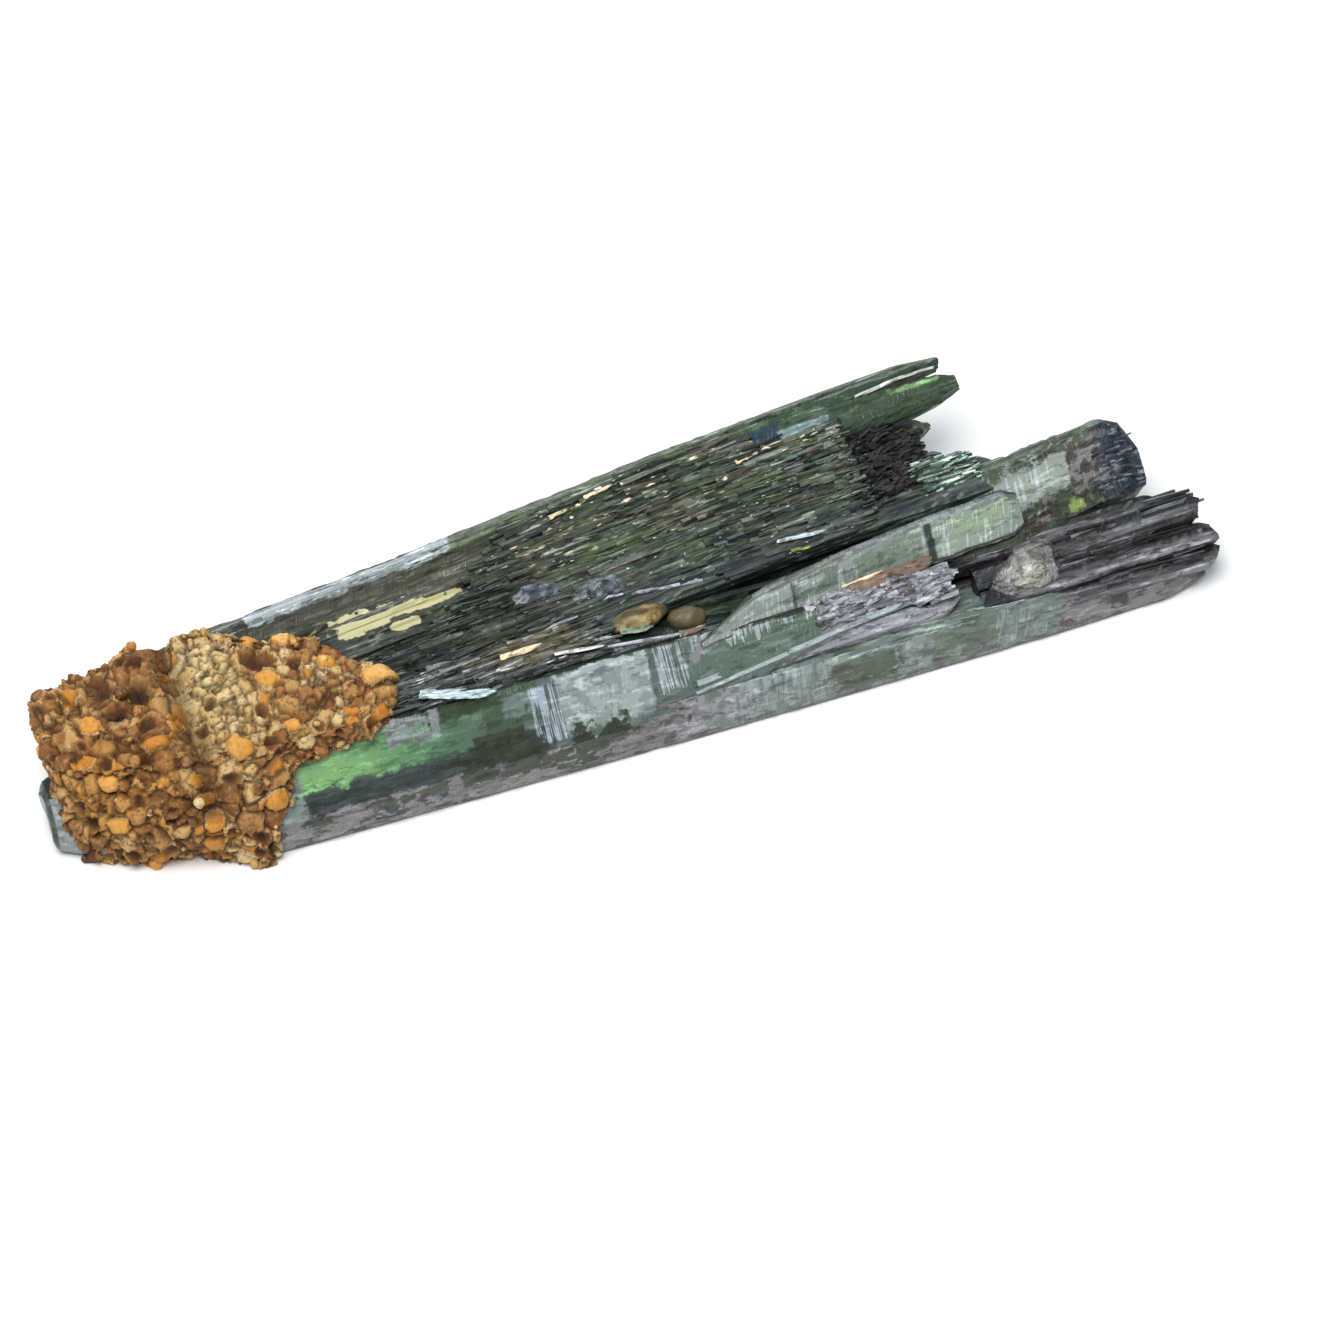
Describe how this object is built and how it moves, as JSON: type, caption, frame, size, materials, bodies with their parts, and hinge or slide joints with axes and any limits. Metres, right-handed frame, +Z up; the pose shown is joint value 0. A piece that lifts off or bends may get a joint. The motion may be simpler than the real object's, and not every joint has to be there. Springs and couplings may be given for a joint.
{
  "type": "vivianite shard",
  "caption": "Lengthwise fan of dark green striated blade crystals with a glassy front face, broken tips and an ochre oolitic crust on the left end.",
  "frame": {"origin": "middle of the footprint of the whole shard, on the surface that it rests on", "axes": "+X along the crystals from the crusted end to the broken tips, +Y to the back rim, +Z up"},
  "size_m": [0.0661, 0.017, 0.0079],
  "materials": {
    "green_crystal": "glassy and pearly, striated",
    "ochre_matrix": "matt, grainy",
    "amber_grain": "waxy"
  },
  "bodies": {
    "root": {"vivianite_crystals": "green_crystal", "oolitic_matrix": "ochre_matrix", "cleft_grain_long": "amber_grain", "cleft_grain_short": "amber_grain"}
  },
  "joints": []
}
